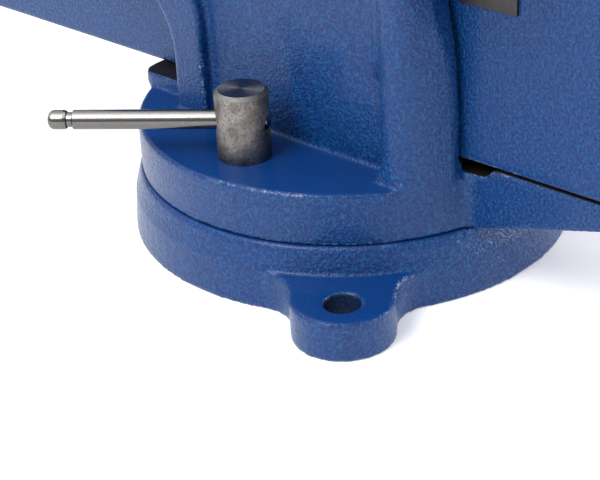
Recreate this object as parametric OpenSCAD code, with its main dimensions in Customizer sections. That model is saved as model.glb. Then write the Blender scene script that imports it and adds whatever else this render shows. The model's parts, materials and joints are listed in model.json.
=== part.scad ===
// Six-inch bench vise on a swivel base.
// +Z is up, -Y is the handle end and X runs along the jaws.
// The origin is the centre of the base's underside, on the bench.

/* [Swivel base] */
// Radius of the turning seam between base and body
seam_r = 90; // [82:0.5:108]
// Height of the base, from the bench to the seam
base_h = 28; // [26:0.5:36]
// How much wider the foot is than the seam
foot_flare = 4.4; // [2:0.2:8]
// Thickness of the bolt lugs
lug_t = 16.8; // [10:0.2:20]
// Radius of a lug's round end
lug_r = 20.5; // [17:0.5:24]
// How far a lug reaches out of the foot
lug_reach = 34.2; // [31:0.2:44]
// Diameter of a bench bolt hole
bench_hole_d = 14.6; // [9:0.2:16]
// Metal between a bolt hole and the lug's end
lug_edge = 8.9; // [7:0.1:12]
// Radius of the fillets between lug and rim
lug_fillet = 17; // [6:1:24]
// Direction of the two lugs, from +X
lug_angle = 39; // [0:1:90]

/* [Body] */
// Thickness of the body's round flange
flange_t = 22.2; // [16:0.2:30]
// Width of the trunk across its side panels
trunk_w = 86.8; // [80:0.4:110]
// Height of the unpainted floor above the flange
floor_h = 6.2; // [4:0.2:12]
// Half width of the floor
floor_half = 39.6; // [34:0.2:42]
// Rear end of the floor behind the swivel axis
floor_rear = 87; // [70:1:100]
// Radius of the floor's rear corners, in plan
floor_corner = 8; // [2:0.5:12]
// Width of the border rib that frames each side panel
rib_w = 16.5; // [12:0.5:24]
// How far the border rib stands out of its panel
rib_proud = 5.4; // [1:0.2:7]
// Rear edge of the upright part of the rib
rib_rear = 54; // [48:1:66]
// Radius of the rib's sweep into the anvil
sweep_r = 36; // [24:1:44]
// Rear end of the anvil
anvil_rear = 108; // [100:1:130]
// Height of the anvil's face above the bench
anvil_z = 162; // [150:1:190]
// Front face of the two columns, ahead of the swivel axis
column_front = 83; // [78:0.5:86]
// Half width over the columns
column_half = 53.2; // [48:0.2:60]
// Front end of the tray under the slide
tray_front = 176; // [150:1:190]
// Radius of the fillets between the flange and the tray
tray_fillet = 6; // [2:0.5:8]

/* [Slide] */
// Width of the box slide
slide_w = 56; // [48:0.5:66]
// Height of the box slide
slide_h = 60; // [52:0.5:70]
// Front end of the moving jaw, vise closed
nose_front = 200; // [190:1:230]
// Wall of the box slide
slide_wall = 9; // [7:0.5:12]
// Greatest opening between the jaws
opening = 150; // [120:1:180]

/* [Jaws] */
// Width of the jaws
jaw_w = 150; // [110:1:190]
// Height of the jaws above the bench
jaw_top = 216; // [200:1:250]
// Distance of the closed jaw faces ahead of the swivel axis
parting = 72; // [70:0.5:74]
// Height of a jaw plate
plate_h = 28; // [22:0.5:34]
// Thickness of a jaw plate
plate_t = 9.8; // [7:0.2:12]
// Thickness of the jaw castings at the top
jaw_t = 34; // [28:1:44]
// Distance between a jaw plate's two screws
plate_screw_gap = 90; // [50:1:100]
// Diameter of a jaw plate screw
plate_screw_d = 8; // [6:1:10]

/* [Main screw and handle] */
// Diameter of the main screw
screw_d = 24; // [18:0.5:28]
// Diameter of the screw's head
head_d = 38; // [34:0.5:44]
// Length of the screw's head
head_len = 40; // [34:1:50]
// Diameter of the handle bar
handle_d = 14; // [10:0.5:18]
// Length of the handle bar over its knobs
handle_len = 206; // [160:1:260]
// Diameter of a handle knob
knob_d = 24; // [20:0.5:30]
// Length of the main nut
nut_len = 32; // [28:1:38]
// Diameter of the bolts that hold the main nut
nut_bolt_d = 8; // [6:1:10]

/* [Swivel locks] */
// Distance of the lock bolts from the swivel axis
lock_r = 65.5; // [64:0.5:70]
// How far the lock bolts stand ahead of the swivel axis
lock_ahead = 1.8; // [0:0.2:4]
// Diameter of a lock bolt's head
lock_head_d = 21.8; // [18:0.2:26]
// Height of a lock bolt's head
lock_head_h = 29; // [24:0.2:36]
// Chamfer round the top of a lock bolt's head
lock_chamfer = 1.5; // [0.5:0.1:2]
// Diameter of a lock bolt's thread
lock_bolt_d = 12; // [10:1:14]
// Diameter of a lock bar
lock_bar_d = 8; // [6:0.2:9]
// Length of a lock bar
lock_bar_len = 89.7; // [70:0.1:96]
// How far a lock bar reaches from its bolt's axis
lock_bar_reach = 78.7; // [60:0.1:84]
// Height of a lock bar above the flange
lock_bar_h = 15.7; // [12:0.1:20]
// Direction of the left lock bar, from +X
lock_bar_angle = 127; // [110:1:140]

/* [Clearances] */
// Gap on each side of the slide
slide_gap = 0.3; // [0.2:0.05:0.6]
// Radial clearance of a running fit
running_gap = 0.05; // [0.02:0.01:0.1]
// Radial clearance of a loose bar or bolt in its hole
loose_gap = 0.35; // [0.3:0.05:1]
// Radial clearance of a lock bar, which is loose in its hole
lock_bar_gap = 0.6; // [0.4:0.1:1]
// Gap under the slide, where it runs on the pads
pad_gap = 0.2; // [0.05:0.05:0.4]
// Gap between faces that turn past each other
face_gap = 0.3; // [0.2:0.05:0.5]

/* [Hidden] */
$fn = 96;

enamel = [0.13, 0.27, 0.55];
steel = [0.55, 0.54, 0.52];
bright_steel = [0.75, 0.75, 0.73];
over = 1;                                // overshoot of every cut

// heights
flange_bottom = base_h;
ledge_z = base_h + flange_t;
floor_z = ledge_z + floor_h;
pad_t = 0.6;                             // machined pads under the slide
pad_z = floor_z + pad_t;
slide_bottom = pad_z + pad_gap;
slide_top = slide_bottom + slide_h;
tunnel_top = slide_top + slide_gap;
screw_z = slide_bottom + 0.46 * slide_h;

// base
foot_r = seam_r + foot_flare;
lug_end = foot_r + lug_reach;
lug_hole_r = lug_end - lug_edge - bench_hole_d / 2;
rim_r = seam_r + 0.75 * foot_flare;      // at the lugs' height, the wall has a slight draft
flange_r = seam_r - 0.4;
spigot_r = 22;
spigot_h = 10;
hollow_wall = 6;                         // round the spigot, in the hollow underside
slot_lip = 8;                            // metal above the tee slot
slot_floor = 8;
slot_half = 11.5;
slot_top = base_h - slot_lip;
entry_half = 17;                         // half width of the slot where the clamp nuts go in

// body
tunnel_half = slide_w / 2 + slide_gap;
column_rear = 59;
lean_z = 82;                             // the columns lean back above this height
lean_r = 180;
fixed_face = parting - 0.8;
neck_half = slide_w / 2 + slide_gap;
head_z0 = 140;                           // where the jaws start to widen
head_z1 = 172;
seat_z = jaw_top - plate_h;
tray_rise = 0.298;                       // slope of the tray's underside
tray_root = flange_r - 1.6;
tray_tip_z = min(flange_bottom + tray_rise * (tray_front - tray_root), floor_z - 2);
mouth_gap = 2;
pocket_depth = 4.4;
pocket_r = 8;
pocket_start = column_front - 3;
pocket_end = column_front + 13.5;
seam_gap = 0.4;                          // the tray starts just above the seam

// moving jaw
moving_face = parting + 0.8;
channel_half = slide_w / 2 - slide_wall;
channel_top = slide_top - 10;
slide_rear = opening + rib_rear;         // the tail is still under the anvil when the jaws are open
nose_wall = 14;
nose_in = nose_front - nose_wall;
nose_boss_t = 6;
nose_boss_r = head_d / 2 + 4;
shoulder_r = 80;
shoulder_y = nose_front - shoulder_r;
shoulder_z = slide_top - 8;

// main screw
journal_r = screw_d / 2;
washer_t = 2.5;
flange_y = nose_front + nose_boss_t + washer_t + face_gap;
collar_flange_t = 6;
head_y0 = flange_y + collar_flange_t;
head_mid = head_y0 + 0.52 * head_len;
handle_hole_r = handle_d / 2 + loose_gap;
collar_t = 12;
spring_len = 16;
spring_wire = 3;
spring_r = journal_r + 1 + spring_wire / 2;
collar_y = nose_in - 2 - face_gap - spring_len;     // front face of the collar
pin_d = 5;
channel_r = min(channel_half, channel_top - screw_z);     // room round the screw inside the slide
nut_half = channel_r - 1.5;
nut_bolt_head_r = 0.85 * nut_bolt_d;
nut_bolt_head_h = nut_bolt_d + 0.5;
nut_bolt_z = flange_bottom + 1.5;        // heads stay clear of the base
nut_bolt_in = 10;                        // how deep they reach into the nut
nut_y0 = 25;
screw_rear = opening + nut_y0 + 0.72 * nut_len;     // the nut still holds the open screw
nut_bolt_y = [nut_y0 + 9, nut_y0 + nut_len - 9];

// locks
lock_x = sqrt(lock_r * lock_r - lock_ahead * lock_ahead);
bar_z = ledge_z + lock_bar_h;
lock_hole_r = lock_bar_d / 2 + lock_bar_gap;
lock_hole_z = bar_z - lock_bar_gap / 2;   // the bar's long end hangs, so it lies high in the hole
lock_mouth_r = 5.8;                      // wide mouth of the hole where the bar's short end comes out
lock_mouth_drop = 2;
lock_mouth_depth = 8;
clamp_nut_z = slot_floor + 2;
clamp_nut_h = slot_top - face_gap - clamp_nut_z;

module side_outline(width) {
    rotate([90, 0, 90]) linear_extrude(width, center = true) children();
}

module block(x0, x1, y0, y1, z0, z1) {
    translate([x0, y0, z0]) cube([x1 - x0, y1 - y0, z1 - z0]);
}

// a cylinder along Y from y0 to y1, at the main screw's height
module rod_y(r, y0, y1) {
    translate([0, y0, screw_z]) rotate([-90, 0, 0]) cylinder(r = r, h = y1 - y0);
}

module ring(r0, r1, z0, z1) {
    rotate_extrude() translate([r0, z0]) square([r1 - r0, z1 - z0]);
}

// ---- swivel base ----

module lug_plan() {
    k = lug_r + lug_fillet;
    cx = sqrt(pow(foot_r + lug_fillet, 2) - k * k);
    share = foot_r / (foot_r + lug_fillet);
    translate([lug_end - lug_r, 0]) circle(r = lug_r);
    translate([0, -lug_r]) square([lug_end - lug_r, 2 * lug_r]);
    for (side = [-1, 1])
        difference() {
            polygon([[0, 0], [cx, 0], [cx, side * k], [cx * share, side * k * share]]);
            translate([cx, side * k]) circle(r = lug_fillet);
        }
}

module base_profile() {
    polygon([[0, 0], [foot_r, 0], [rim_r, lug_t], [seam_r + 0.6, base_h - 1],
        [seam_r - 0.4, base_h], [0, base_h]]);
}

module swivel_base() color(enamel) {
    difference() {
        union() {
            rotate_extrude() base_profile();
            for (turn = [0, 180])
                rotate(lug_angle + turn) linear_extrude(lug_t) lug_plan();
            translate([0, 0, base_h - over]) cylinder(r = spigot_r, h = spigot_h + over);
        }
        ring(spigot_r + hollow_wall, lock_r - slot_half - hollow_wall + 1, -over, slot_top - 2);
        ring(lock_r - slot_half, lock_r + slot_half, slot_floor, slot_top);
        ring(lock_r - lock_bolt_d / 2 - 1, lock_r + lock_bolt_d / 2 + 1, slot_top - over, base_h + over);
        intersection() {
            ring(lock_r - slot_half, lock_r + slot_half, slot_top - over, base_h + over);
            block(-entry_half, entry_half, 0, foot_r, 0, base_h + 2 * over);
        }
        for (turn = [0, 180])
            rotate(lug_angle + turn) translate([lug_hole_r, 0, -over])
                cylinder(d = bench_hole_d, h = lug_t + 2 * over);
    }
}

// ---- vise body ----

// side view of the trunk and anvil: the rear edge sweeps back into the anvil's underside
module trunk_outline() {
    difference() {
        union() {
            translate([-fixed_face, ledge_z - over])
                square([fixed_face + rib_rear, anvil_z - ledge_z + over]);
            translate([0, lean_z - 9 + sweep_r]) square([anvil_rear, anvil_z - lean_z + 9 - sweep_r]);
            translate([rib_rear - over, lean_z - 9]) square([sweep_r + over, sweep_r + over]);
        }
        translate([rib_rear + sweep_r, lean_z - 9]) circle(r = sweep_r);
    }
}

// the raised border along the rear edge and under the anvil
module rib_outline() {
    difference() {
        trunk_outline();
        translate([-rib_w, rib_w]) trunk_outline();
        translate([-2 * parting, 0]) square([2 * parting + rib_rear - rib_w, anvil_z - rib_w]);
    }
}

module columns() {
    intersection() {
        translate([0, 0, flange_bottom + 2]) cylinder(r = flange_r, h = head_z0 - flange_bottom);
        block(-column_half, column_half, -column_front, -column_rear, ledge_z - over, head_z0 + 5);
        side_outline(3 * column_half) {
            translate([-column_front, 0]) square([column_front, lean_z]);
            translate([lean_r - column_front, lean_z]) circle(r = lean_r, $fn = 180);
        }
    }
}

module floor_plan() {
    square_rear = floor_rear - floor_corner;
    translate([-floor_half, -fixed_face]) square([2 * floor_half, fixed_face + square_rear]);
    translate([floor_corner - floor_half, 0]) square([2 * (floor_half - floor_corner), floor_rear]);
    for (side = [-1, 1])
        translate([side * (floor_half - floor_corner), square_rear]) circle(r = floor_corner);
}

module tray() {
    side_outline(slide_w)
        polygon([[-column_rear, flange_bottom + seam_gap], [-tray_root, flange_bottom + seam_gap],
            [-tray_front, tray_tip_z], [-tray_front, floor_z], [-column_rear, floor_z]]);
}

// hollow corners where the flange's wall runs into the tray's sides
module tray_fillets() {
    half = slide_w / 2;
    cx = half + tray_fillet;
    cy = sqrt(pow(flange_r + tray_fillet, 2) - cx * cx);
    share = flange_r / (flange_r + tray_fillet);
    for (side = [-1, 1])
        difference() {
            polygon([[side * (half - over), -cy], [side * cx, -cy], [side * cx * share, -cy * share],
                [side * (half - over), -cy * share]]);
            translate([side * cx, -cy]) circle(r = tray_fillet);
        }
}

module pocket_outline() {
    bottom = floor_z - pocket_depth;
    half_chord = sqrt(pocket_r * pocket_r - pow(pocket_r - pocket_depth, 2));
    translate([half_chord - pocket_end, bottom + pocket_r]) circle(r = pocket_r, $fn = 64);
    translate([half_chord - pocket_end, bottom])
        square([pocket_end - half_chord - pocket_start, pocket_depth + over]);
}

module fixed_head() {
    hull() {
        block(-trunk_w / 2, trunk_w / 2, -fixed_face, 0, head_z0 - 16, head_z0 - 14);
        block(-jaw_w / 2, jaw_w / 2, -fixed_face, -fixed_face + jaw_t, head_z1, jaw_top);
    }
}

module plate_screw_holes(face, depth, way) {
    for (x = [-1, 1])
        translate([x * plate_screw_gap / 2, -face, seat_z + plate_h / 2])
            rotate([way * -90, 0, 0]) translate([0, 0, -over]) cylinder(d = plate_screw_d, h = depth + over);
}

module vise_body() color(enamel) {
    difference() {
        union() {
            translate([0, 0, flange_bottom]) rotate_extrude()
                polygon([[0, 0], [flange_r - 0.8, 0], [flange_r, 0.8], [flange_r, flange_t - 0.8],
                    [flange_r - 0.8, flange_t], [0, flange_t]]);
            translate([0, 0, ledge_z - over]) linear_extrude(floor_h + over) floor_plan();
            side_outline(trunk_w) trunk_outline();
            side_outline(trunk_w + 2 * rib_proud) rib_outline();
            columns();
            tray();
            translate([0, 0, flange_bottom + seam_gap]) linear_extrude(flange_t - seam_gap) tray_fillets();
            fixed_head();
        }
        // tunnel for the slide, with the pads left standing on its floor
        block(-tunnel_half, tunnel_half, -nose_front, slide_rear, pad_z, tunnel_top);
        block(-tunnel_half, tunnel_half, -nose_front, -column_rear, floor_z, tunnel_top);
        block(-tunnel_half, tunnel_half, rib_rear, slide_rear, floor_z, tunnel_top);
        block(-neck_half, neck_half, -nose_front, -fixed_face, floor_z, jaw_top);
        // wider mouth between the columns, and the round-ended pocket across the tray's root
        block(-tunnel_half - mouth_gap, tunnel_half + mouth_gap, -nose_front, -fixed_face, floor_z, head_z0);
        side_outline(slide_w + 2 * over) pocket_outline();
        // seat of the jaw plate
        block(-jaw_w, jaw_w, -parting - over, -parting + plate_t, seat_z, jaw_top + over);
        plate_screw_holes(parting - plate_t, screw_reach + 2, 1);
        // turning fit on the base and the lock bolts
        translate([0, 0, flange_bottom - over])
            cylinder(r = spigot_r + running_gap, h = spigot_h + face_gap + over);
        for (side = [-1, 1])
            translate([side * lock_x, -lock_ahead, flange_bottom - over])
                cylinder(r = lock_bolt_d / 2 + loose_gap, h = flange_t + 2 * over);
        // bolts of the main nut, heads sunk in the underside
        for (y = nut_bolt_y)
            translate([0, y, flange_bottom - over]) {
                cylinder(r = nut_bolt_d / 2 + loose_gap, h = pad_z);
                cylinder(r = nut_bolt_head_r + 0.8, h = nut_bolt_head_h + 1.5 + over);
            }
    }
}

// ---- jaw plates ----

screw_head_d = 1.6 * plate_screw_d;
screw_head_h = 0.6 * plate_t - 1;        // the head's top lies 1 mm below the plate's face
screw_reach = 14;                        // how deep a screw goes into the jaw

module jaw_plate(face, way) {
    difference() {
        block(-jaw_w / 2, jaw_w / 2, min(face, way * plate_t - parting), max(face, way * plate_t - parting),
            seat_z, jaw_top);
        for (x = [-1, 1])
            translate([x * plate_screw_gap / 2, face, seat_z + plate_h / 2]) rotate([-way * 90, 0, 0]) {
                translate([0, 0, -over]) cylinder(d = plate_screw_d + 0.8, h = plate_t + 2 * over);
                translate([0, 0, -over]) cylinder(d = screw_head_d + 1.2, h = screw_head_h + 1 + over);
            }
    }
}

// two socket-head screws, heads sunk below the plate's face
module jaw_plate_screws(face, way) {
    for (x = [-1, 1])
        translate([x * plate_screw_gap / 2, face, seat_z + plate_h / 2]) rotate([-way * 90, 0, 0])
            difference() {
                union() {
                    translate([0, 0, screw_head_h + 1])
                        cylinder(d = plate_screw_d, h = plate_t - screw_head_h - 1 + screw_reach);
                    translate([0, 0, 1]) cylinder(d = screw_head_d, h = screw_head_h);
                }
                translate([0, 0, 0.5]) cylinder(d = screw_head_d / 2, h = 3.5, $fn = 6);
            }
}

module fixed_jaw_plate() color(steel) jaw_plate(-parting + face_gap / 2, 1);
module fixed_jaw_screws() color(steel) jaw_plate_screws(-parting + face_gap / 2, 1);
module moving_jaw_plate() color(steel) jaw_plate(-parting - face_gap / 2, -1);
module moving_jaw_screws() color(steel) jaw_plate_screws(-parting - face_gap / 2, -1);

// ---- main nut ----

module main_nut() color(steel) {
    difference() {
        union() {
            block(-nut_half, nut_half, nut_y0, nut_y0 + nut_len, pad_z, screw_z);
            rod_y(nut_half, nut_y0, nut_y0 + nut_len);
        }
        rod_y(journal_r + running_gap, nut_y0 - over, nut_y0 + nut_len + over);
        for (y = nut_bolt_y)
            translate([0, y, pad_z - over]) cylinder(d = nut_bolt_d, h = nut_bolt_in + 1 + over);
    }
}

module main_nut_bolts() color(steel) {
    for (y = nut_bolt_y)
        translate([0, y, nut_bolt_z]) {
            cylinder(d = nut_bolt_d, h = pad_z + nut_bolt_in - nut_bolt_z);
            difference() {
                cylinder(r = nut_bolt_head_r, h = nut_bolt_head_h);
                translate([0, 0, -over]) cylinder(d = 0.8 * nut_bolt_d, h = nut_bolt_d / 2 + over, $fn = 6);
            }
        }
}

// ---- swivel locks ----

module clamp_nut() rotate(-asin(lock_ahead / lock_r)) {
    half_w = slot_half - 1.5;
    half_l = 14;
    difference() {
        block(lock_r - half_w, lock_r + half_w, -half_l, half_l, clamp_nut_z, clamp_nut_z + clamp_nut_h);
        translate([lock_r, 0, 0]) cylinder(r = lock_bolt_d / 2 + running_gap, h = base_h);
    }
}

module clamp_nut_left() color(steel) mirror([1, 0, 0]) clamp_nut();
module clamp_nut_right() color(steel) clamp_nut();

// the right-hand bolt and bar; the left ones are their mirror image
module lock_bolt() translate([lock_x, -lock_ahead, 0]) {
    head_r = lock_head_d / 2;
    head_top = ledge_z + lock_head_h;
    difference() {
        rotate_extrude()
            polygon([[0, clamp_nut_z], [lock_bolt_d / 2 - 1, clamp_nut_z], [lock_bolt_d / 2, clamp_nut_z + 1],
                [lock_bolt_d / 2, ledge_z], [head_r, ledge_z], [head_r, head_top - lock_chamfer],
                [head_r - lock_chamfer, head_top], [0, head_top]]);
        translate([0, 0, lock_hole_z]) rotate(180 - lock_bar_angle) rotate([0, 90, 0])
            cylinder(r = lock_hole_r, h = 4 * head_r, center = true, $fn = 48);
        translate([0, 0, bar_z - lock_mouth_drop]) rotate(-lock_bar_angle) rotate([0, 90, 0])
            translate([0, 0, head_r - lock_mouth_depth]) cylinder(r = lock_mouth_r, h = 2 * head_r, $fn = 48);
    }
}

// its outer end is a rounded knob behind a narrow neck
module lock_bar() translate([lock_x, -lock_ahead, bar_z]) {
    r = lock_bar_d / 2;
    tail = lock_bar_len - lock_bar_reach;
    knob = lock_bar_len - 8.1;
    neck = knob - 2;
    corner = 2.8;
    rotate(180 - lock_bar_angle) rotate([0, 90, 0]) translate([0, 0, -tail]) rotate_extrude($fn = 48)
        polygon(concat([[0, 0], [r - 1, 0], [r, 1], [r, neck - 0.5], [r - 0.5, neck],
            [r - 0.9, neck + 0.2], [r - 0.9, knob], [r - 0.3, knob + 0.5], [r, knob + 1.6]],
            [for (turn = [0:15:90])
                [r - corner + corner * cos(turn), lock_bar_len - corner + corner * sin(turn)]],
            [[0, lock_bar_len]]));
}

module lock_bolt_left() color(steel) mirror([1, 0, 0]) lock_bolt();
module lock_bolt_right() color(steel) lock_bolt();
module lock_bar_left() color(bright_steel) mirror([1, 0, 0]) lock_bar();
module lock_bar_right() color(bright_steel) lock_bar();

// ---- moving jaw ----

module moving_outline() {
    translate([-nose_front, slide_bottom]) square([nose_front + slide_rear, slide_h]);
    translate([-shoulder_y, slide_bottom]) square([shoulder_y - moving_face, head_z1 + 6 - slide_bottom]);
    intersection() {
        translate([-shoulder_y, shoulder_z]) circle(r = shoulder_r, $fn = 180);
        translate([-nose_front, slide_bottom]) square([nose_front - moving_face, shoulder_z + shoulder_r]);
    }
}

module moving_head() {
    hull() {
        block(-slide_w / 2, slide_w / 2, -moving_face - 60, -moving_face, head_z0 + 6, head_z0 + 8);
        block(-jaw_w / 2, jaw_w / 2, -moving_face - jaw_t, -moving_face, head_z1, jaw_top);
    }
}

module moving_jaw() color(enamel) {
    difference() {
        union() {
            side_outline(slide_w) moving_outline();
            moving_head();
            rod_y(nose_boss_r, -nose_front - nose_boss_t, -nose_front + over);
        }
        block(-channel_half, channel_half, -nose_in, slide_rear + over, slide_bottom - over, channel_top);
        rod_y(journal_r + running_gap, -nose_front - nose_boss_t - over, -nose_in + over);
        block(-jaw_w, jaw_w, -parting - plate_t, -parting + over, seat_z, jaw_top + over);
        plate_screw_holes(parting + plate_t, screw_reach + 2, -1);
    }
}

// blank plate on the moving jaw's left side, held by two drive rivets
plate_rear = parting + 9;
plate_len = 26.5;
plate_z = 121.2;
plate_wide = 20;
plate_thick = 1.2;
rivet_d = 2.5;
rivet_in = 4;                            // rivets' distance from the plate's ends

module side_plate() color(steel) {
    difference() {
        block(-slide_w / 2 - plate_thick, -slide_w / 2, -plate_rear - plate_len, -plate_rear,
            plate_z, plate_z + plate_wide);
        for (y = [rivet_in, plate_len - rivet_in])
            translate([-slide_w / 2 - plate_thick - over, -plate_rear - y, plate_z + plate_wide / 2])
                rotate([0, 90, 0]) cylinder(d = rivet_d + 0.1, h = plate_thick + 2 * over, $fn = 32);
    }
}

module side_plate_rivets() color(bright_steel) {
    for (y = [rivet_in, plate_len - rivet_in])
        translate([-slide_w / 2, -plate_rear - y, plate_z + plate_wide / 2]) rotate([0, -90, 0]) {
            cylinder(d = rivet_d, h = plate_thick, $fn = 32);
            translate([0, 0, plate_thick]) cylinder(d1 = rivet_d + 2.1, d2 = rivet_d + 0.5, h = 0.9, $fn = 32);
        }
}

// ---- main screw ----

module washer_y(r_out, y0, y1) {
    difference() {
        rod_y(r_out, y0, y1);
        rod_y(journal_r + loose_gap, y0 - over, y1 + over);
    }
}

module thrust_washer() color(bright_steel) {
    washer_y(nose_boss_r - 2, -nose_front - nose_boss_t - washer_t, -nose_front - nose_boss_t);
}

module spring_washer() color(bright_steel) {
    washer_y(channel_r - 1, -nose_in, -nose_in + 2);
}

module main_screw() color(steel) {
    difference() {
        union() {
            rod_y(journal_r, -flange_y, screw_rear - 2);
            translate([0, screw_rear - 2, screw_z]) rotate([-90, 0, 0])
                cylinder(r1 = journal_r, r2 = journal_r - 2, h = 2);
            rod_y(nose_boss_r - 1, -head_y0, -flange_y);
            rod_y(head_d / 2, -head_y0 - head_len + 3, -head_y0);
            translate([0, -head_y0 - head_len + 3, screw_z]) rotate([90, 0, 0])
                cylinder(r1 = head_d / 2, r2 = head_d / 2 - 3, h = 3);
        }
        translate([0, -head_mid, screw_z]) rotate([0, 90, 0])
            cylinder(r = handle_hole_r, h = 2 * head_d, center = true, $fn = 64);
        translate([0, -collar_y + collar_t / 2, screw_z])
            cylinder(d = pin_d, h = 3 * screw_d, center = true, $fn = 32);
    }
}

module retaining_collar() color(steel) {
    difference() {
        rod_y(journal_r + 5, -collar_y, -collar_y + collar_t);
        rod_y(journal_r, -collar_y - over, -collar_y + collar_t + over);
        translate([0, -collar_y + collar_t / 2, screw_z])
            cylinder(d = pin_d, h = 3 * screw_d, center = true, $fn = 32);
    }
}

module collar_pin() color(bright_steel) {
    translate([0, -collar_y + collar_t / 2, screw_z])
        cylinder(d = pin_d, h = screw_d + 9, center = true, $fn = 32);
}

// compression spring between the collar and the washer inside the nose
spring_turns = 3;
spring_sides = 8;
spring_steps = 24;

function spring_at(i) = let (a = 360 * i / spring_steps)
    [spring_r * cos(a), spring_wire / 2 + (spring_len - spring_wire) * i / (spring_turns * spring_steps),
        spring_r * sin(a)];
function spring_ring(i) = let (c = spring_at(i), a = 360 * i / spring_steps)
    [for (k = [0:spring_sides - 1]) let (b = 360 * k / spring_sides, w = spring_wire / 2)
        c + [w * cos(b) * cos(a), w * sin(b), w * cos(b) * sin(a)]];

module screw_spring() color(bright_steel) {
    n = spring_turns * spring_steps;
    points = [for (i = [0:n]) each spring_ring(i)];
    sides = [for (i = [0:n - 1], k = [0:spring_sides - 1])
        let (a = i * spring_sides + k, b = i * spring_sides + (k + 1) % spring_sides)
            [a, b, b + spring_sides, a + spring_sides]];
    first = [for (k = [spring_sides - 1:-1:0]) k];
    last = [for (k = [0:spring_sides - 1]) n * spring_sides + k];
    translate([0, -nose_in + 2 + face_gap, screw_z]) mirror([0, 0, 1])
        polyhedron(points, concat([first, last], sides));
}

// ---- handle ----

module handle_bar() color(bright_steel) {
    shank = handle_len - knob_d * 1.84;
    translate([0, -head_mid, screw_z]) rotate([0, 90, 0]) {
        cylinder(d = handle_d, h = shank, center = true);
        cylinder(d = handle_d * 0.7, h = shank + knob_d * 1.3, center = true);
    }
}

module handle_knob() {
    seat = handle_len / 2 - knob_d / 2;
    bar_end = seat - knob_d * 0.42;
    difference() {
        translate([seat, -head_mid, screw_z]) rotate([0, 90, 0]) rotate_extrude()
            difference() {
                circle(d = knob_d);
                translate([-knob_d, -knob_d]) square([knob_d, 2 * knob_d]);
                translate([0, -knob_d]) square([knob_d, knob_d * 0.58]);
            }
        translate([bar_end - over, -head_mid, screw_z]) rotate([0, 90, 0])
            cylinder(d = handle_d * 0.7, h = knob_d * 0.7 + over);
    }
}

module handle_knob_left() color(steel) mirror([1, 0, 0]) handle_knob();
module handle_knob_right() color(steel) handle_knob();

swivel_base();
vise_body();
fixed_jaw_plate();
fixed_jaw_screws();
main_nut();
main_nut_bolts();
clamp_nut_left();
clamp_nut_right();
lock_bolt_left();
lock_bolt_right();
lock_bar_left();
lock_bar_right();
moving_jaw();
moving_jaw_plate();
moving_jaw_screws();
side_plate();
side_plate_rivets();
thrust_washer();
spring_washer();
main_screw();
screw_spring();
retaining_collar();
collar_pin();
handle_bar();
handle_knob_left();
handle_knob_right();
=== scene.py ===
import json
import math

import bpy
import numpy as np
from mathutils import Matrix, Vector


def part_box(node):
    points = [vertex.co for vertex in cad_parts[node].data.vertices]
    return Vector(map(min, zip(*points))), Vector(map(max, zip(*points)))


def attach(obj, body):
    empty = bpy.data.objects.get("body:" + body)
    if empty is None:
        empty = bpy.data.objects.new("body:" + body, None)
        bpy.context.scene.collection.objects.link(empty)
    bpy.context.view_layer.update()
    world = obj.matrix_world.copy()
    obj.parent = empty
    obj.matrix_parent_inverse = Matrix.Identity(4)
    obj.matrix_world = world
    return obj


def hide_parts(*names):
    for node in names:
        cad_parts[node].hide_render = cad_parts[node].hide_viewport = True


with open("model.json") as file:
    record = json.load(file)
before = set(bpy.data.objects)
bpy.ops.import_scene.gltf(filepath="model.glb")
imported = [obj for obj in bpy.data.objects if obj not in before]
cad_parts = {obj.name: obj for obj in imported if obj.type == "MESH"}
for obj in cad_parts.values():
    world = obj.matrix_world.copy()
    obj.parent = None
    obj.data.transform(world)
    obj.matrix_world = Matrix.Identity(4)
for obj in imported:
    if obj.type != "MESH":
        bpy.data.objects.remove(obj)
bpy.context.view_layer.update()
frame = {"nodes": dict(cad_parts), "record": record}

mm = 0.001
scene = bpy.context.scene
nodes = frame["nodes"]
record = frame["record"]
body_of = {n: b for b, ns in record["behaviour"]["bodies"].items() for n in ns}
slot_of = {s["node"]: s["material_slot"] for s in record["subparts"]}
joint_of = {j["name"]: j for j in record["behaviour"]["joints"]}
camera_ahead = Vector((0.63678, 0.60588, -0.47688)).normalized()


# ---- camera, floor and light ----

def make_camera():
    """A long lens from the left front, about 27 degrees above the bench."""
    ahead = camera_ahead
    level = Vector((ahead.y, -ahead.x, 0)).normalized()
    up = level.cross(ahead)
    roll = -0.052
    side = level * math.cos(roll) + up * math.sin(roll)
    top = side.cross(ahead)
    data = bpy.data.cameras.new("camera")
    data.lens, data.sensor_width = 102, 36
    cam = bpy.data.objects.new("camera", data)
    place = Matrix.Translation((-0.4977, -0.4409, 0.3441))
    turn = Matrix((side, top, -ahead)).transposed().to_4x4()
    cam.matrix_world = place @ turn
    scene.collection.objects.link(cam)
    scene.camera = cam


def make_floor():
    """A plain pale sheet with a faint glow, so that its shadows stay light."""
    data = bpy.data.meshes.new("floor")
    reach = 4.0
    corners = [(-reach, -reach, 0), (reach, -reach, 0), (reach, reach, 0), (-reach, reach, 0)]
    data.from_pydata(corners, [], [(0, 1, 2, 3)])
    floor = bpy.data.objects.new("floor", data)
    scene.collection.objects.link(floor)
    g = Graph("pale_floor")
    g.set("Base Color", (0.93, 0.93, 0.93, 1))
    g.set("Roughness", 0.8)
    g.set("Emission Color", (1, 1, 1, 1))
    g.set("Emission Strength", 0.25)
    data.materials.append(g.material)


def area_light(name, place, target, size, watts):
    data = bpy.data.lights.new(name, "AREA")
    data.shape, data.size, data.energy = "DISK", size, watts
    light = bpy.data.objects.new(name, data)
    light.location = place
    light.rotation_euler = (Vector(target) - Vector(place)).to_track_quat("-Z", "Y").to_euler()
    scene.collection.objects.link(light)


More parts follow.
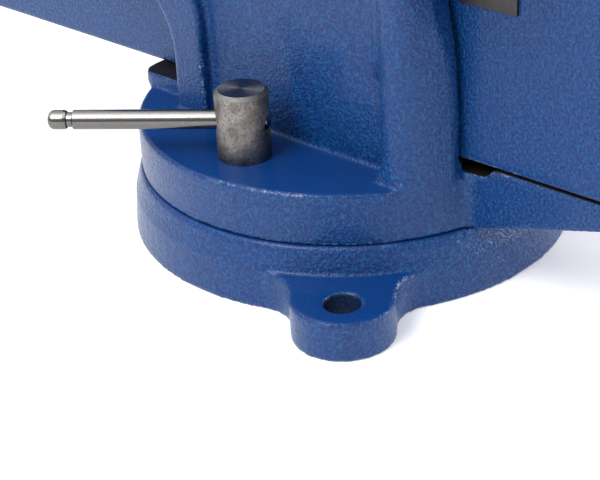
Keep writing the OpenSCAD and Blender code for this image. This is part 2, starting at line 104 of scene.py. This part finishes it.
def make_light():
    """A studio lit from above, with a dark horizon and a dark patch where the photographer stands."""
    world = bpy.data.worlds.new("studio")
    world.use_nodes = True
    tree = world.node_tree
    link = tree.links.new
    coord = tree.nodes.new("ShaderNodeTexCoord")
    split = tree.nodes.new("ShaderNodeSeparateXYZ")
    ramp = tree.nodes.new("ShaderNodeValToRGB")
    facing = tree.nodes.new("ShaderNodeVectorMath")
    facing.operation = "DOT_PRODUCT"
    facing.inputs[1].default_value = -camera_ahead
    lobe = tree.nodes.new("ShaderNodeMapRange")
    lobe.interpolation_type = "SMOOTHSTEP"
    rim, core, open_sky, patch = 0.93, 0.985, 1.0, 0.10
    for socket, value in zip(lobe.inputs[1:], (rim, core, open_sky, patch)):
        socket.default_value = value
    link(coord.outputs["Generated"], split.inputs[0])
    link(coord.outputs["Generated"], facing.inputs[0])
    link(facing.outputs["Value"], lobe.inputs[0])
    link(lobe.outputs[0], tree.nodes["Background"].inputs["Strength"])
    link(split.outputs["Z"], ramp.inputs["Fac"])
    link(ramp.outputs["Color"], tree.nodes["Background"].inputs["Color"])
    # brightness of the sky against the sine of its height
    stops = ((0.0, 0.05), (0.08, 0.12), (0.28, 0.80), (0.62, 1.1), (1.0, 1.5))
    while len(ramp.color_ramp.elements) < len(stops):
        ramp.color_ramp.elements.new(0.5)
    for element, (at, grey_level) in zip(ramp.color_ramp.elements, stops):
        element.position, element.color = at, (grey_level, grey_level, grey_level, 1)
    scene.world = world
    area_light("key", (-1.2, 0.1, 1.4), (0, 0, 0.05), 1.0, 24)
    area_light("front", (0.86, -0.88, 0.17), (0.05, -0.06, 0.02), 0.22, 8.5)
    scene.view_settings.view_transform = "Standard"


# ---- shader graphs ----

class Graph:
    """A material with one Principled shader, and short calls that add nodes to it."""

    def __init__(self, name):
        self.material = bpy.data.materials.new(name)
        self.material.use_nodes = True
        self.tree = self.material.node_tree
        self.shader = self.tree.nodes["Principled BSDF"]

    def put(self, socket, value):
        if isinstance(value, bpy.types.NodeSocket):
            self.tree.links.new(value, socket)
        elif value is not None:
            socket.default_value = value

    def set(self, name, value):
        self.put(self.shader.inputs[name], value)

    def coords(self):
        return self.tree.nodes.new("ShaderNodeTexCoord").outputs["Object"]

    def noise(self, where, scale, detail=2.0, rough=0.5):
        n = self.tree.nodes.new("ShaderNodeTexNoise")
        self.put(n.inputs["Vector"], where)
        for key, value in (("Scale", scale), ("Detail", detail), ("Roughness", rough)):
            n.inputs[key].default_value = value
        return n.outputs[0]

    def math(self, kind, a, b=None):
        n = self.tree.nodes.new("ShaderNodeMath")
        n.operation = kind
        self.put(n.inputs[0], a)
        self.put(n.inputs[1], b)
        return n.outputs[0]

    def times(self, a, b):
        return self.math("MULTIPLY", a, b)

    def add(self, a, b):
        return self.math("ADD", a, b)

    def less(self, a, b):
        return self.math("SUBTRACT", a, b)

    def remap(self, value, low, high, to_low=0.0, to_high=1.0):
        n = self.tree.nodes.new("ShaderNodeMapRange")
        n.interpolation_type = "SMOOTHSTEP"
        for socket, v in zip(n.inputs, (value, low, high, to_low, to_high)):
            self.put(socket, v)
        return n.outputs[0]

    def mix(self, share, a, b):
        n = self.tree.nodes.new("ShaderNodeMix")
        n.data_type = "RGBA"
        self.put(n.inputs["Factor"], share)
        self.put(n.inputs[6], a)
        self.put(n.inputs[7], b)
        return n.outputs[2]

    def normal_z(self):
        split = self.tree.nodes.new("ShaderNodeSeparateXYZ")
        self.put(split.inputs[0], self.tree.nodes.new("ShaderNodeNewGeometry").outputs["Normal"])
        return split.outputs["Z"]

    def axes(self, where):
        split = self.tree.nodes.new("ShaderNodeSeparateXYZ")
        self.put(split.inputs[0], where)
        return split.outputs[0], split.outputs[1], split.outputs[2]

    def join(self, x, y, z):
        n = self.tree.nodes.new("ShaderNodeCombineXYZ")
        for socket, value in zip(n.inputs, (x, y, z)):
            self.put(socket, value)
        return n.outputs[0]

    def attribute(self, name):
        n = self.tree.nodes.new("ShaderNodeAttribute")
        n.attribute_name = name
        return n.outputs["Fac"]

    def bump(self, height, depth, strength=1.0, after=None):
        n = self.tree.nodes.new("ShaderNodeBump")
        n.inputs["Distance"].default_value = depth
        self.put(n.inputs["Strength"], strength)
        self.put(n.inputs["Height"], height)
        self.put(n.inputs["Normal"], after)
        return n.outputs[0]


def grey(value, warm=0.0):
    return (value + warm, value, value - warm, 1)


def shade(tint, share):
    return tuple(c * share for c in tint[:3]) + (1,)


def enamel_material():
    """Pebbled blue enamel: smooth on level faces, grainy on walls, with painted shade in the pebbles'
    hollows and painted glints on their tops, chipped in places along edges, and a dark oily colour on
    bare iron and, as painted shade, in some recesses.
    """
    g = Graph("blue_enamel")
    where = g.coords()
    deep, pale = (0.0020, 0.031, 0.146, 1), (0.0030, 0.040, 0.182, 1)
    # painted shade for the pebbles' hollows and painted glints for their tops
    hollow_shade_blue, glint_blue = (0.0008, 0.011, 0.050, 1), (0.005, 0.092, 0.23, 1)
    chip_grey = (0.42, 0.48, 0.58, 1)
    # oily iron colours, also used as painted shade in recesses
    black_oil_and_shade, brown_oil_and_shade = (0.0030, 0.0026, 0.0024, 1), (0.013, 0.010, 0.008, 1)

    pebble = g.noise(where, 860, 2.0, 0.55)
    lumps = g.noise(where, 330, 1.5)
    grit = g.noise(where, 1700, 2.0, 0.6)
    level = g.remap(g.normal_z(), 0.80, 0.96)
    wall = g.less(1.0, g.times(level, 0.93))
    height = g.add(g.times(pebble, 0.7), g.times(lumps, 0.3))
    pebbled = g.bump(height, 0.95 * mm, wall)
    g.set("Normal", g.bump(grit, 0.05 * mm, wall, pebbled))

    blue = g.mix(g.noise(where, 22, 3.0), deep, pale)
    # painted shade: the hollows of the pebbles on walls are darkened
    hollow_shade = g.times(g.remap(pebble, 0.28, 0.54, 0.6, 0.0), wall)
    blue = g.mix(hollow_shade, blue, hollow_shade_blue)
    # painted highlight: the tops of the pebbles on walls are lightened as glints
    painted_glint = g.times(g.remap(pebble, 0.48, 0.70, 0.0, 0.75), wall)
    blue = g.mix(painted_glint, blue, glint_blue)
    stretch = g.remap(g.noise(where, 55, 2.0), 0.50, 0.62)
    chips = g.times(g.remap(g.noise(where, 820, 3.0, 0.7), 0.50, 0.62), stretch)
    worn = g.times(g.remap(g.attribute("edge"), 0.25, 0.7), chips)
    blue = g.mix(worn, blue, chip_grey)
    # dark oily colour: bare iron, and painted shade in the body's tunnel and pocket and in the lugs'
    # bolt holes
    bare_and_shade = g.attribute("bare_and_shade")
    oil_and_shade = g.mix(g.noise(where, 180, 4.0, 0.6), black_oil_and_shade, brown_oil_and_shade)
    g.set("Base Color", g.mix(bare_and_shade, blue, oil_and_shade))

    gloss = g.remap(grit, 0.3, 0.7, 0.20, 0.36)
    g.set("Roughness", g.add(gloss, g.times(bare_and_shade, 0.25)))
    g.set("Specular IOR Level", 0.25)
    g.set("Coat Weight", 0.16)
    g.set("Coat Roughness", 0.12)
    return g.material


def steel_material(name, tint, rough_low, rough_high, stain=0.0):
    """Machined steel with clouds, fine grain and, where asked for, brown stains."""
    g = Graph(name)
    where = g.coords()
    cloud = g.noise(where, 120, 4.0, 0.6)
    grain = g.noise(where, 1500, 3.0, 0.7)
    base = g.mix(g.remap(cloud, 0.35, 0.65), tint, shade(tint, 0.78))
    if stain:
        spots = g.remap(g.noise(where, 260, 5.0, 0.7), 0.50, 0.66, 0.0, stain)
        base = g.mix(spots, base, (0.10, 0.07, 0.05, 1))
    g.set("Base Color", base)
    g.set("Metallic", 1.0)
    g.set("Roughness", g.remap(grain, 0.3, 0.7, rough_low, rough_high))
    g.set("Normal", g.bump(grain, 0.02 * mm, 0.6))
    return g.material


def lock_bolt_material():
    """Turned steel: rings on the flat top, a plain grey chamfer, and a mottled brown side."""
    g = Graph("lock_bolt_steel")
    where = g.coords()
    side_pale, side_dark, rust = (0.27, 0.26, 0.25, 1), (0.15, 0.14, 0.13, 1), (0.060, 0.050, 0.042, 1)
    ring_dark, ring_pale = (0.10, 0.105, 0.125, 1), (0.22, 0.225, 0.245, 1)
    chamfer_grey = (0.15, 0.148, 0.145, 1)

    # both bolts share the material, so distance is measured from the nearer bolt's axis
    x, y, z = g.axes(where)
    low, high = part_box("lock_bolt_right")
    axis_x, axis_y = (low[0] + high[0]) / 2, (low[1] + high[1]) / 2
    dx = g.less(g.math("ABSOLUTE", x), axis_x)
    dy = g.less(y, axis_y)
    radius = g.math("SQRT", g.add(g.times(dx, dx), g.times(dy, dy)))
    rings = g.noise(g.join(radius, 0.0, 0.0), 1900, 3.0, 0.7)
    tool_lines = g.noise(g.join(0.0, 0.0, z), 1500, 3.0, 0.7)
    up = g.normal_z()
    top = g.remap(up, 0.90, 0.98)
    chamfer = g.times(g.remap(up, 0.25, 0.45), g.less(1.0, top))

    cloud = g.noise(where, 130, 4.0, 0.6)
    side = g.mix(g.remap(cloud, 0.35, 0.65), side_pale, side_dark)
    spots = g.remap(g.noise(where, 900, 5.0, 0.75), 0.42, 0.66, 0.0, 0.72)
    side = g.mix(spots, side, rust)
    face = g.mix(g.remap(rings, 0.35, 0.65), ring_dark, ring_pale)
    g.set("Base Color", g.mix(chamfer, g.mix(top, side, face), chamfer_grey))
    g.set("Metallic", 1.0)

    grain = g.noise(where, 1400, 3.0, 0.7)
    rough = g.remap(grain, 0.3, 0.7, 0.34, 0.52)
    g.set("Roughness", g.add(rough, g.times(chamfer, 0.08)))
    g.set("Anisotropic", 0.75)
    round_axis = g.tree.nodes.new("ShaderNodeTangent")
    round_axis.direction_type, round_axis.axis = "RADIAL", "Z"
    g.set("Tangent", round_axis.outputs[0])
    lathe = g.bump(g.add(g.times(rings, top), tool_lines), 0.03 * mm, 0.5)
    pits = g.less(0.8, g.times(top, 0.8))
    g.set("Normal", g.bump(g.noise(where, 700, 4.0, 0.7), 0.10 * mm, pits, lathe))
    return g.material


def rod_material(name, tint, along, rough_low, rough_high):
    """Drawn rod with faint rings across its length, with painted shade along its top line and
    underneath.

    The left and right pieces share it, so the length is measured with x taken positive."""
    g = Graph(name)
    where = g.coords()
    # mark_brown is for real marks; the dark grey is painted shade
    mark_brown, painted_shade_grey = (0.22, 0.20, 0.18, 1), (0.065, 0.06, 0.055, 1)
    x, y, z = g.axes(where)
    run = g.add(g.times(g.math("ABSOLUTE", x), along[0]), g.times(y, along[1]))
    rings = g.noise(g.join(run, 0.0, 0.0), 900, 4.0, 0.75)
    marks = g.remap(g.noise(where, 300, 4.0, 0.7), 0.58, 0.72, 0.0, 0.5)
    base = g.mix(g.remap(rings, 0.35, 0.65), tint, shade(tint, 0.86))
    base = g.mix(marks, base, mark_brown)
    # painted shade: darker on the underside and along the top line, by the normal's height
    unshaded_below = g.remap(g.normal_z(), 0.36, 0.62, 0.24, 1.0)
    unshaded_above = g.remap(g.normal_z(), 0.78, 0.98, 1.0, 0.38)
    g.set("Base Color", g.mix(g.times(unshaded_below, unshaded_above), painted_shade_grey, base))
    g.set("Metallic", 1.0)
    g.set("Roughness", g.remap(rings, 0.3, 0.7, rough_low, rough_high))
    g.set("Normal", g.bump(rings, 0.012 * mm, 0.5))
    return g.material


def iron_material():
    """Dark oiled iron, for pieces that are mostly out of sight."""
    g = Graph("oiled_iron")
    where = g.coords()
    grain = g.noise(where, 700, 4.0, 0.65)
    g.set("Base Color", g.mix(grain, (0.055, 0.055, 0.058, 1), (0.11, 0.105, 0.10, 1)))
    g.set("Metallic", 0.8)
    g.set("Roughness", g.remap(grain, 0.3, 0.7, 0.38, 0.55))
    g.set("Normal", g.bump(grain, 0.08 * mm, 0.6))
    return g.material


# ---- mesh tools ----

def mesh_arrays(mesh):
    """The points and the edges' two ends, as arrays."""
    co = np.zeros(len(mesh.vertices) * 3)
    mesh.vertices.foreach_get("co", co)
    ends = np.zeros(len(mesh.edges) * 2, np.int64)
    mesh.edges.foreach_get("vertices", ends)
    return co.reshape(-1, 3), ends.reshape(-1, 2)


def edge_counts(ends, length):
    return np.maximum(np.bincount(ends.ravel(), minlength=length), 1)


def neighbour_mean(values, ends, counts):
    a, b = ends[:, 0], ends[:, 1]
    size = len(values)
    total = [np.bincount(a, column[b], size) + np.bincount(b, column[a], size) for column in values.T]
    return np.stack(total, 1) / counts[:, None]


def soften(co, ends, passes, weight):
    """Laplacian smoothing. weight is each point's share of the move."""
    counts = edge_counts(ends, len(co))
    weight = np.asarray(weight, float).reshape(-1, 1)
    for _ in range(passes):
        co = co + 0.5 * weight * (neighbour_mean(co, ends, counts) - co)
    return co


def vertex_normals(mesh):
    n = np.zeros(len(mesh.vertices) * 3)
    mesh.vertices.foreach_get("normal", n)
    return n.reshape(-1, 3)


def point_attribute(mesh, name, values):
    layer = mesh.attributes.new(name, "FLOAT", "POINT")
    layer.data.foreach_set("value", np.clip(values, 0, 1).astype(np.float32))


def edge_lift(mesh, voxel):
    """How much each point stands out of its surroundings, from 0 on a flat to 1 on a sharp edge."""
    co, ends = mesh_arrays(mesh)
    counts = edge_counts(ends, len(co))
    sharp = 0.16 * voxel
    lift = ((co - neighbour_mean(co, ends, counts)) * vertex_normals(mesh)).sum(1)[:, None] / sharp
    for _ in range(2):
        lift = 0.5 * lift + 0.5 * neighbour_mean(lift, ends, counts)
    return lift[:, 0]


def set_points(mesh, co):
    mesh.vertices.foreach_set("co", co.ravel())
    mesh.update()


def new_piece(name, mesh, node, material):
    """Shows the mesh in place of the CAD node, on the node's body, with the given material."""
    obj = bpy.data.objects.new(name, mesh)
    scene.collection.objects.link(obj)
    mesh.materials.clear()
    mesh.materials.append(material)
    mesh.polygons.foreach_set("use_smooth", [True] * len(mesh.polygons))
    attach(obj, body_of[node])
    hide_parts(node)
    return obj


def skin(node, voxel):
    """The CAD node's own shape as one even skin of small quads, pulled back onto its faces."""
    temp = bpy.data.objects.new("temp", nodes[node].data.copy())
    scene.collection.objects.link(temp)
    remesh = temp.modifiers.new("skin", "REMESH")
    remesh.mode, remesh.voxel_size, remesh.adaptivity = "VOXEL", voxel, 0
    wrap = temp.modifiers.new("onto", "SHRINKWRAP")
    wrap.target, wrap.wrap_method = nodes[node], "NEAREST_SURFACEPOINT"
    graph = bpy.context.evaluated_depsgraph_get()
    mesh = bpy.data.meshes.new_from_object(temp.evaluated_get(graph))
    bpy.data.objects.remove(temp)
    return mesh


def near_edges(mesh, ends, rings):
    """1 at points where the surface turns sharply, fading out over a few rings of neighbours."""
    counts = edge_counts(ends, len(mesh.vertices))
    bend = 1 - np.linalg.norm(neighbour_mean(vertex_normals(mesh), ends, counts), axis=1)
    flat, sharpened = 0.002, 0.02
    share = np.clip((bend - flat) / sharpened, 0, 1)[:, None]
    for _ in range(rings):
        share = np.maximum(share, np.minimum(1, 1.6 * neighbour_mean(share, ends, counts)))
    return share[:, 0]


def soften_part(co, ends, chosen, passes):
    """Long smoothing of the chosen points only, with the points round them held."""
    keep = chosen[ends[:, 0]] | chosen[ends[:, 1]]
    part = ends[keep]
    used = np.unique(part)
    local = np.full(len(co), -1)
    local[used] = np.arange(len(used))
    co[used] = soften(co[used], local[part], passes, chosen[used].astype(float))


def cast_piece(node, voxel, bare_and_shade, rounded=()):
    """An enamelled casting. The third argument gives, from points in mm and normals, the share in the
    dark oily colour: bare iron, and painted shade in some recesses.
    rounded holds pairs, a test of points and its passes, for places with a large radius."""
    mesh = skin(node, voxel)
    co, ends = mesh_arrays(mesh)
    co = soften(co, ends, 5, near_edges(mesh, ends, 3))
    for test, passes in rounded:
        soften_part(co, ends, test(co), passes)
    set_points(mesh, co)
    point_attribute(mesh, "edge", edge_lift(mesh, voxel))
    point_attribute(mesh, "bare_and_shade", bare_and_shade(co / mm, vertex_normals(mesh)))
    new_piece(node + "_casting", mesh, node, enamel)


def shaped_piece(name, node, voxel, move, passes):
    """A turned-steel piece whose fine skin is then moved by move, for threads and serrations."""
    mesh = skin(node, voxel)
    co, ends = mesh_arrays(mesh)
    normal = vertex_normals(mesh)
    set_points(mesh, move(soften(co, ends, passes, near_edges(mesh, ends, 1)), normal))
    new_piece(name, mesh, node, turned)


# ---- the vise ----

make_camera()
make_floor()
make_light()

enamel = enamel_material()
turned = steel_material("turned_steel", grey(0.36, 0.012), 0.28, 0.42, 0.5)
finishes = {
    "enamel": enamel,
    "turned_steel": turned,
    "bright_steel": steel_material("bright_steel", grey(0.62, 0.006), 0.14, 0.26),
    "plate_metal": steel_material("plate_metal", (0.066, 0.064, 0.066, 1), 0.38, 0.52, 0.2),
    "bare_iron": iron_material(),
}
for name, obj in nodes.items():
    obj.data.materials.clear()
    obj.data.materials.append(finishes[slot_of[name]])
lock_steel = lock_bolt_material()
bar_along = [-v for v in joint_of["left_bar_slide"]["axis"]]
bar_steel = rod_material("lock_bar_steel", grey(0.46, 0.006), bar_along, 0.16, 0.30)
for side in ("left", "right"):
    nodes["lock_bolt_" + side].data.materials[0] = lock_steel
    nodes["lock_bar_" + side].data.materials[0] = bar_steel
handle_steel = rod_material("handle_steel", grey(0.62, 0.006), (0.0, 1.0), 0.14, 0.26)
nodes["handle_bar"].data.materials[0] = handle_steel

# places in mm, from the CAD
floor_z = 56.4
floor_half, floor_rear = 38.6, 86.2
tunnel_half, tunnel_front, tunnel_top = 31.6, -82.2, 120.0
pocket_half, pocket_front, pocket_rear, pocket_depth = 27.5, -97.5, -79.0, 5.8
channel_half, channel_front, channel_top = 20.5, -187.0, 109.6
slide_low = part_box("moving_jaw")[0][2] / mm
lug_top, ring_inner_r = 16.8, 88.6
lug_angle = math.radians(39)
bolts = next(m for m in record["mounts"] if m["kind"] == "bolt_pattern")["dims"]
hole_xy = -bolts["pcd_mm"] / 2 * np.array((math.cos(lug_angle), math.sin(lug_angle)))


def between(values, low, high):
    return (values > low) & (values < high)


def body_bare_and_shade(p, n):
    """Oily iron on the floor under the slide, and the same dark colour as painted shade in the tunnel
    and in the pocket at its mouth.
    """
    x, y, z = np.abs(p[:, 0]), p[:, 1], p[:, 2]
    level = (n[:, 2] > 0.6) & between(z, floor_z - 0.9, floor_z + 2.4)
    floor_top = level & (x < floor_half) & (y < floor_rear)
    # painted shade: the tunnel's inside and the pocket at its mouth are darkened like oily iron
    tunnel_shade = (x < tunnel_half) & (y > tunnel_front) & between(z, floor_z - 0.6, tunnel_top)
    in_pocket = (x < pocket_half) & between(y, pocket_front, pocket_rear)
    pocket_shade = in_pocket & between(z, floor_z - pocket_depth, floor_z + 0.2)
    return (floor_top | tunnel_shade | pocket_shade).astype(float)


def base_bare_and_shade(p, n):
    """Bare iron inside the ring, and painted shade, a 0.6 share of the dark colour, in the lugs' bolt
    holes.
    """
    hole = np.minimum(np.hypot(p[:, 0] - hole_xy[0], p[:, 1] - hole_xy[1]),
                      np.hypot(p[:, 0] + hole_xy[0], p[:, 1] + hole_xy[1]))
    # painted shade: the bolt holes' walls get a 0.6 share of the dark colour
    hole_shade = (hole < bolts["hole_r_mm"] + 0.5) & between(p[:, 2], 0.5, lug_top - 0.9)
    inside = np.hypot(p[:, 0], p[:, 1]) < ring_inner_r
    return np.where(inside, 1.0, hole_shade * 0.6)


def jaw_bare(p, n):
    """Oily iron on the slide's sliding edges and in its channel."""
    x, z = np.abs(p[:, 0]), p[:, 2]
    under = (z < slide_low + 0.5) & (n[:, 2] < -0.5)
    channel = (x < channel_half) & (z < channel_top) & (p[:, 1] > channel_front)
    return (under | channel).astype(float)


def column_corner(p):
    """The rounded corner of each front column, above the ledge."""
    return beside_trunk(p) & (p[:, 1] < -56 * mm) & between(p[:, 2], 52.5 * mm, 145 * mm)


def column_blend(p):
    """The soft valley between each column and the panel behind it."""
    near_column = np.abs(p[:, 1] + 58 * mm) < 12 * mm
    return beside_trunk(p) & near_column & between(p[:, 2], 88 * mm, 140 * mm)


def beside_trunk(p):
    return np.abs(p[:, 0]) > 41 * mm


def groove(u, half):
    """A V groove at each whole number: 1 at its bottom, 0 past its edges."""
    return 1 - np.minimum(1, np.abs(u - np.round(u)) / half)


def serrated(node):
    """Crossed V grooves over the gripping face, clear of its border and its two screws."""
    low, high = (np.array(v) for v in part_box(node))
    screws_low, screws_high = (np.array(v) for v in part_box(node.replace("plate", "screws")))
    head_r = (screws_high[2] - screws_low[2]) / 2
    screw_x, screw_z = -screws_low[0] - head_r, (screws_low[2] + screws_high[2]) / 2
    way = -1 if node.startswith("fixed") else 1
    face = low[1] if way < 0 else high[1]
    pitch, depth, half_width = 3.4 * mm, 0.7 * mm, 0.3
    border, screw_border = 2.0 * mm, 1.5 * mm

    def move(co, normal):
        x, z = co[:, 0], co[:, 2]
        on_face = (np.abs(co[:, 1] - face) < 0.2 * mm) & (normal[:, 1] * way > 0.8)
        from_sides, from_ends = np.minimum(x - low[0], high[0] - x), np.minimum(z - low[2], high[2] - z)
        inside = np.minimum(from_sides, from_ends) > border
        clear = np.hypot(np.abs(x) - screw_x, z - screw_z) > head_r + screw_border
        cut = np.maximum(groove((x + z) / pitch, half_width), groove((x - z) / pitch, half_width))
        co[:, 1] -= way * depth * cut * (on_face & inside & clear)
        return co
    shaped_piece(node + "_serrated", node, 0.6 * mm, move, 2)


def threaded(co, normal):
    """A trapezoidal thread on the screw's shank, fading in behind the collar."""
    low, high = (np.array(v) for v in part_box("main_screw"))
    axis_z = (low[2] + high[2]) / 2
    thread_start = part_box("retaining_collar")[1][1] + 5 * mm
    pitch, depth, run_in, core_r = 6 * mm, 2.7 * mm, 4 * mm, 9.5 * mm
    half_root, flank = 0.25, 0.3
    x, y, z = co[:, 0], co[:, 1], co[:, 2] - axis_z
    radius = np.hypot(x, z)
    turn = np.mod(y / pitch - np.arctan2(x, z) / (2 * math.pi), 1.0)
    profile = np.clip((np.abs(turn - 0.5) * 2 - half_root) / flank, 0, 1)
    fade = np.clip((y - thread_start) / run_in, 0, 1)
    cut = depth * (1 - profile) * fade * (radius > core_r)
    share = 1 - cut / np.maximum(radius, 1 * mm)
    co[:, 0], co[:, 2] = x * share, z * share + axis_z
    return co


cast_piece("swivel_base", 0.9 * mm, base_bare_and_shade)
cast_piece("vise_body", 1.0 * mm, body_bare_and_shade, ((column_corner, 160), (column_blend, 90)))
cast_piece("moving_jaw", 1.1 * mm, jaw_bare)
serrated("fixed_jaw_plate")
serrated("moving_jaw_plate")
shaped_piece("main_screw_threaded", "main_screw", 0.75 * mm, threaded, 3)
